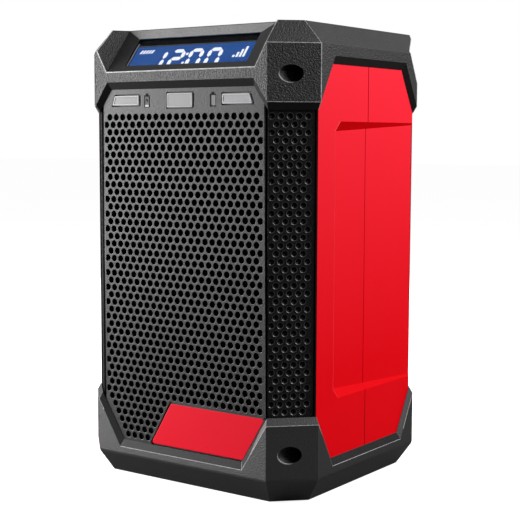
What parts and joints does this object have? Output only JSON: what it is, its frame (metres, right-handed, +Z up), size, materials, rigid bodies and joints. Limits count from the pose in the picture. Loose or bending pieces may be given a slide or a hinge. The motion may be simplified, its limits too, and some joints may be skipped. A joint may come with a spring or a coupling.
{
  "type": "jobsite radio",
  "caption": "Upright jobsite radio and charger with perforated front, sloping display, top keypad, rear battery bay and hinged port door.",
  "frame": {"origin": "centre of the body on the plane the feet stand on", "axes": "front faces -Y, +X is the right-hand side seen from the front, +Z up"},
  "size_m": [0.165, 0.148, 0.265],
  "materials": {
    "textured_black": "fine moulded grain, lighter worn edges",
    "red_shell": "smooth satin gloss",
    "grille_grey": "fine moulded grain",
    "speaker_cloth": "black acoustic cloth",
    "panel_black": "fine moulded grain",
    "plate_red": "satin",
    "badge_grey": "satin",
    "window_grey": "frosted translucent",
    "circuit_board": "solder mask",
    "bezel_black": "smooth satin",
    "clear_lens": "clear, polished",
    "lcd_blue": "backlit blue",
    "white_plastic": "satin",
    "mat_rubber": "silicone",
    "key_grey": "soft touch",
    "basket_black": "satin black",
    "gasket_foam": "closed foam",
    "surround_rubber": "satin",
    "cone_paper": "pressed paper",
    "copper_coil": "enamelled copper wire",
    "magnet_ferrite": "ferrite with zinc plates",
    "dock_black": "satin",
    "contact_metal": "plated",
    "battery_black": "fine moulded grain",
    "latch_red": "satin",
    "sink_aluminium": "extruded",
    "door_black": "soft touch",
    "pin_steel": "drawn",
    "connector_steel": "stamped",
    "jack_black": "satin",
    "screw_steel": "zinc plated",
    "foot_rubber": "matte"
  },
  "bodies": {
    "housing": {"base_bumper": "textured_black", "top_cap": "textured_black", "front_housing": "red_shell", "rear_housing": "red_shell", "front_grille": "grille_grey", "grille_cloth": "speaker_cloth", "right_front_corner_panel": "panel_black", "left_front_corner_panel": "panel_black", "right_rear_corner_panel": "panel_black", "left_rear_corner_panel": "panel_black", "rear_panel": "panel_black", "port_tub": "panel_black", "name_plate": "plate_red", "front_badge": "badge_grey", "charge_window": "window_grey", "battery_window": "window_grey", "indicator_board": "circuit_board", "display_bezel": "bezel_black", "display_lens": "clear_lens", "lcd_cell": "lcd_blue", "lcd_holder": "white_plastic", "display_board": "circuit_board", "control_panel": "panel_black", "keypad_mat": "mat_rubber", "keypad_board": "circuit_board", "speaker_basket": "basket_black", "speaker_gasket": "gasket_foam", "speaker_surround": "surround_rubber", "speaker_magnet": "magnet_ferrite", "battery_dock": "dock_black", "battery_terminals": "contact_metal", "main_board": "circuit_board", "charger_board": "circuit_board", "heat_sink": "sink_aluminium", "ferrite_antenna": "magnet_ferrite", "hinge_pin": "pin_steel", "usb_port": "connector_steel", "audio_jack": "jack_black", "power_inlet": "jack_black", "corner_screws": "screw_steel", "rubber_feet": "foot_rubber"},
    "battery": {"battery_pack": "battery_black"},
    "left_latch": {"left_battery_latch": "latch_red"},
    "right_latch": {"right_battery_latch": "latch_red"},
    "door": {"port_door": "door_black", "door_seal": "gasket_foam"},
    "cone": {"speaker_cone": "cone_paper", "dust_cap": "cone_paper", "voice_coil": "copper_coil"},
    "power_button": {"power_key": "key_grey"},
    "source_button": {"source_key": "key_grey"},
    "equalizer_button": {"equalizer_key": "key_grey"},
    "menu_button": {"menu_key": "key_grey"},
    "volume_down_button": {"volume_down_key": "key_grey"},
    "volume_up_button": {"volume_up_key": "key_grey"},
    "tune_down_button": {"tune_down_key": "key_grey"},
    "tune_up_button": {"tune_up_key": "key_grey"},
    "preset_1_button": {"preset_1_key": "key_grey"},
    "preset_2_button": {"preset_2_key": "key_grey"},
    "preset_3_button": {"preset_3_key": "key_grey"}
  },
  "joints": [
    {"name": "power_press", "type": "slide", "parent": "housing", "child": "power_button", "axis": [0, 0, -1], "range_m": [0, 0.0008], "stiffness_N_per_m": 600, "springref_m": -0.0004},
    {"name": "source_press", "type": "slide", "parent": "housing", "child": "source_button", "axis": [0, 0, -1], "range_m": [0, 0.0008], "stiffness_N_per_m": 600, "springref_m": -0.0004},
    {"name": "equalizer_press", "type": "slide", "parent": "housing", "child": "equalizer_button", "axis": [0, 0, -1], "range_m": [0, 0.0008], "stiffness_N_per_m": 600, "springref_m": -0.0004},
    {"name": "menu_press", "type": "slide", "parent": "housing", "child": "menu_button", "axis": [0, 0, -1], "range_m": [0, 0.0008], "stiffness_N_per_m": 600, "springref_m": -0.0004},
    {"name": "volume_down_press", "type": "slide", "parent": "housing", "child": "volume_down_button", "axis": [0, 0, -1], "range_m": [0, 0.0008], "stiffness_N_per_m": 600, "springref_m": -0.0004},
    {"name": "volume_up_press", "type": "slide", "parent": "housing", "child": "volume_up_button", "axis": [0, 0, -1], "range_m": [0, 0.0008], "stiffness_N_per_m": 600, "springref_m": -0.0004},
    {"name": "tune_down_press", "type": "slide", "parent": "housing", "child": "tune_down_button", "axis": [0, 0, -1], "range_m": [0, 0.0008], "stiffness_N_per_m": 600, "springref_m": -0.0004},
    {"name": "tune_up_press", "type": "slide", "parent": "housing", "child": "tune_up_button", "axis": [0, 0, -1], "range_m": [0, 0.0008], "stiffness_N_per_m": 600, "springref_m": -0.0004},
    {"name": "preset_1_press", "type": "slide", "parent": "housing", "child": "preset_1_button", "axis": [0, 0, -1], "range_m": [0, 0.0008], "stiffness_N_per_m": 600, "springref_m": -0.0004},
    {"name": "preset_2_press", "type": "slide", "parent": "housing", "child": "preset_2_button", "axis": [0, 0, -1], "range_m": [0, 0.0008], "stiffness_N_per_m": 600, "springref_m": -0.0004},
    {"name": "preset_3_press", "type": "slide", "parent": "housing", "child": "preset_3_button", "axis": [0, 0, -1], "range_m": [0, 0.0008], "stiffness_N_per_m": 600, "springref_m": -0.0004},
    {"name": "battery_slide", "type": "slide", "parent": "housing", "child": "battery", "axis": [0, 1, 0], "range_m": [0, 0.08]},
    {"name": "left_latch_press", "type": "slide", "parent": "battery", "child": "left_latch", "axis": [1, 0, 0], "range_m": [0, 0.0016], "stiffness_N_per_m": 900, "springref_m": -0.0005},
    {"name": "right_latch_press", "type": "slide", "parent": "battery", "child": "right_latch", "axis": [-1, 0, 0], "range_m": [0, 0.0016], "stiffness_N_per_m": 900, "springref_m": -0.0005},
    {"name": "door_hinge", "type": "hinge", "parent": "housing", "child": "door", "pos_m": [0, 0.0695, 0.15], "axis": [-1, 0, 0], "range_deg": [0, 95]},
    {"name": "cone_stroke", "type": "slide", "parent": "housing", "child": "cone", "axis": [0, -1, 0], "range_m": [-0.0015, 0.0015], "stiffness_N_per_m": 1500}
  ]
}
